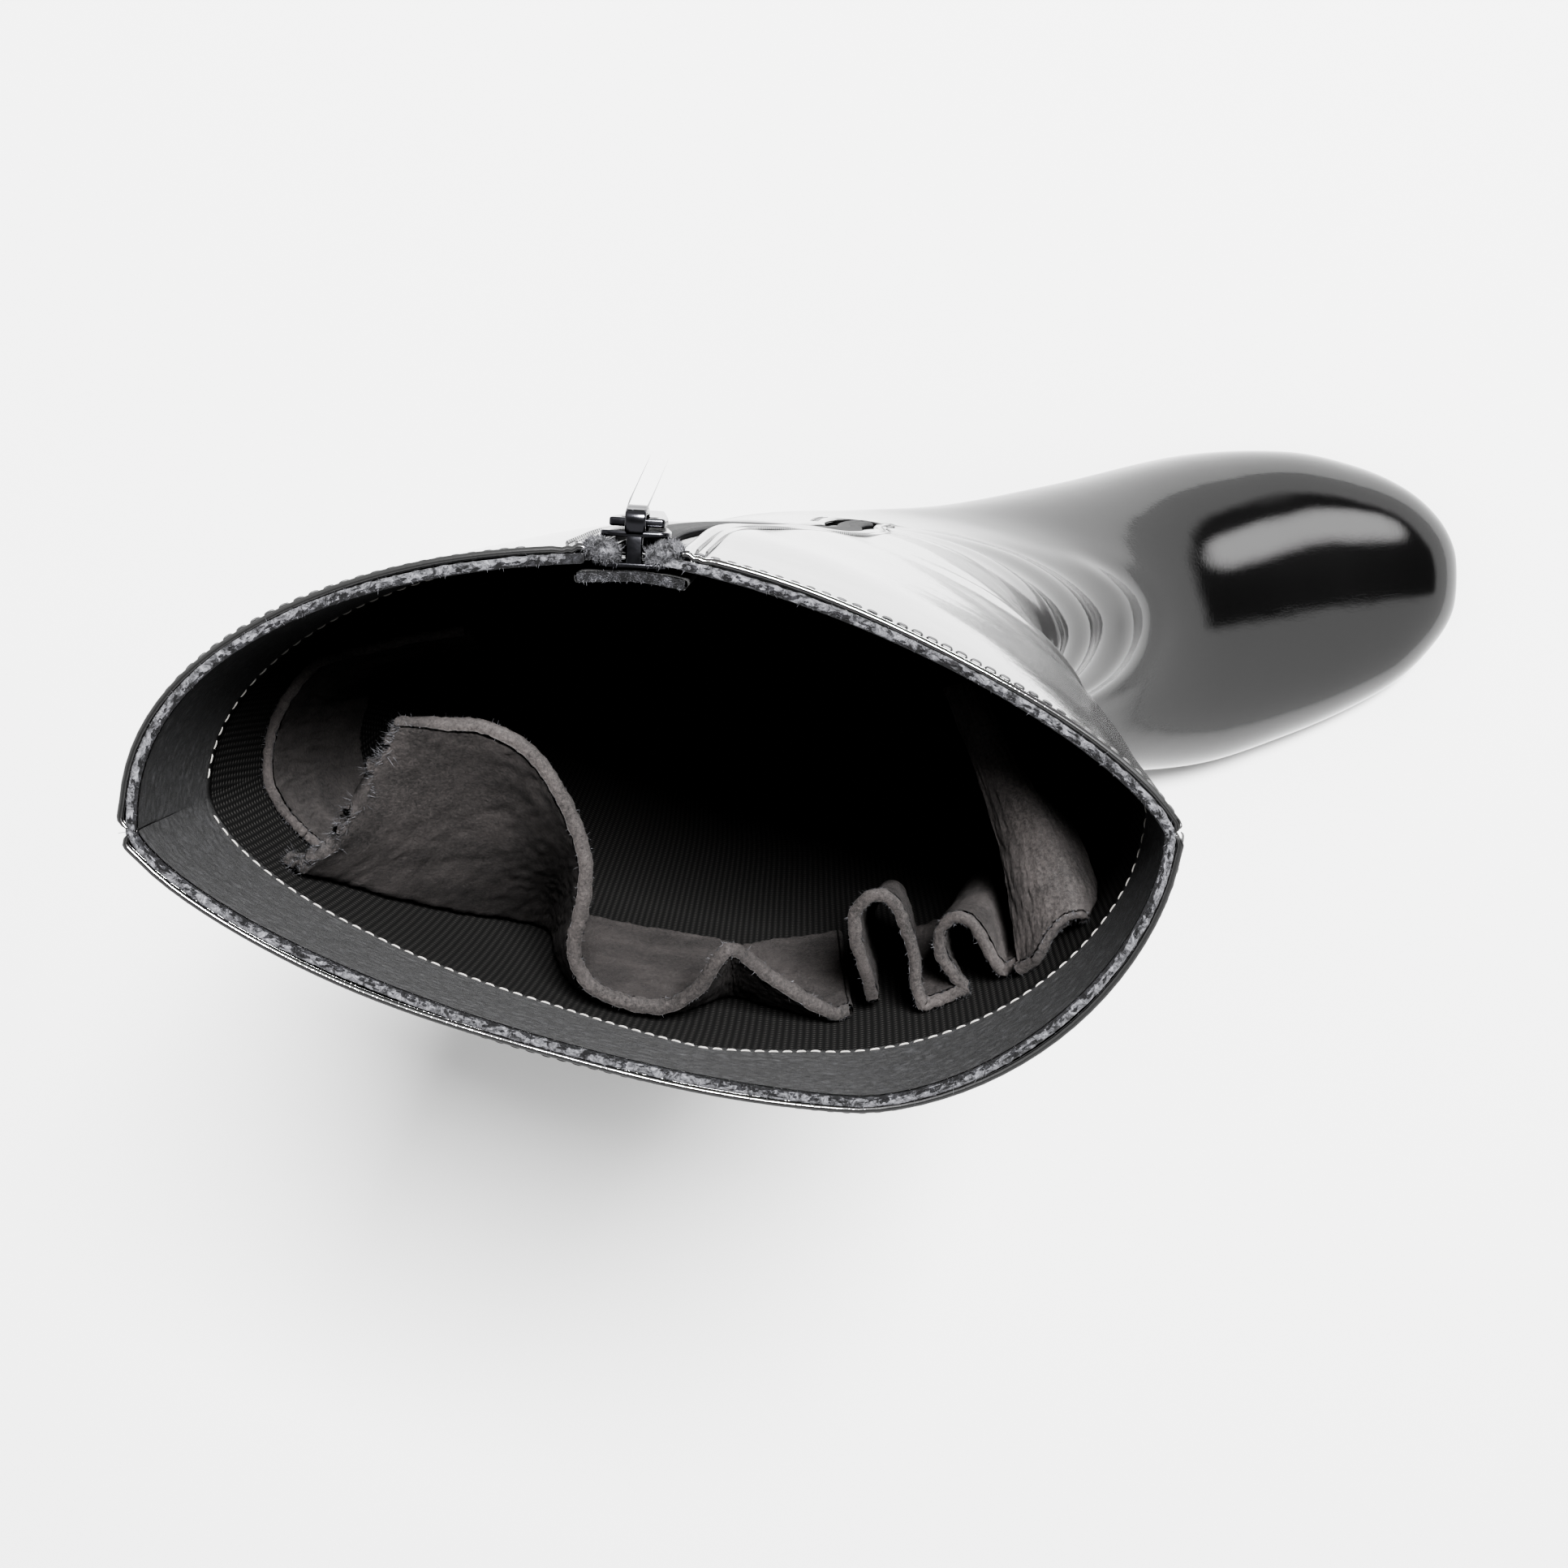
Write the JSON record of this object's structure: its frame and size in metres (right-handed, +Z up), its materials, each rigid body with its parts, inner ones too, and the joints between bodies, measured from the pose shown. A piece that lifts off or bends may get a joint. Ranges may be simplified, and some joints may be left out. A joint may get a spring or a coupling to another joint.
{
  "type": "heeled knee boot",
  "caption": "Right-foot knee boot in black patent leather, hollow from collar to sole, with a covered block heel, an inner side zip and a hinged pull tab.",
  "frame": {"origin": "middle of the heel's top piece, on the floor", "axes": "+X towards the toe, +Y towards the inner (medial) side, +Z up"},
  "size_m": [0.2744, 0.093, 0.455],
  "materials": {
    "patent_leather": "black patent, high gloss",
    "lining": "charcoal felt",
    "sole": "black, satin",
    "top_piece": "black, dull",
    "zip_tape": "black woven",
    "zip_chain": "black moulded coil",
    "gunmetal": "dark polished plate"
  },
  "bodies": {
    "boot": {"upper": "patent_leather", "insole": "lining", "outsole": "sole", "heel": "patent_leather", "heel_top_piece": "top_piece", "zip_tape_back": "zip_tape", "zip_tape_front": "zip_tape", "zip_chain": "zip_chain", "zip_guard": "lining", "zip_slider": "gunmetal"},
    "pull": {"zip_pull": "gunmetal"}
  },
  "joints": [
    {"name": "pull_hinge", "type": "hinge", "parent": "boot", "child": "pull", "pos_m": [0.002, 0.04276, 0.45056], "axis": [0.9982, -0.0593, 0], "range_deg": [0, 165]}
  ]
}
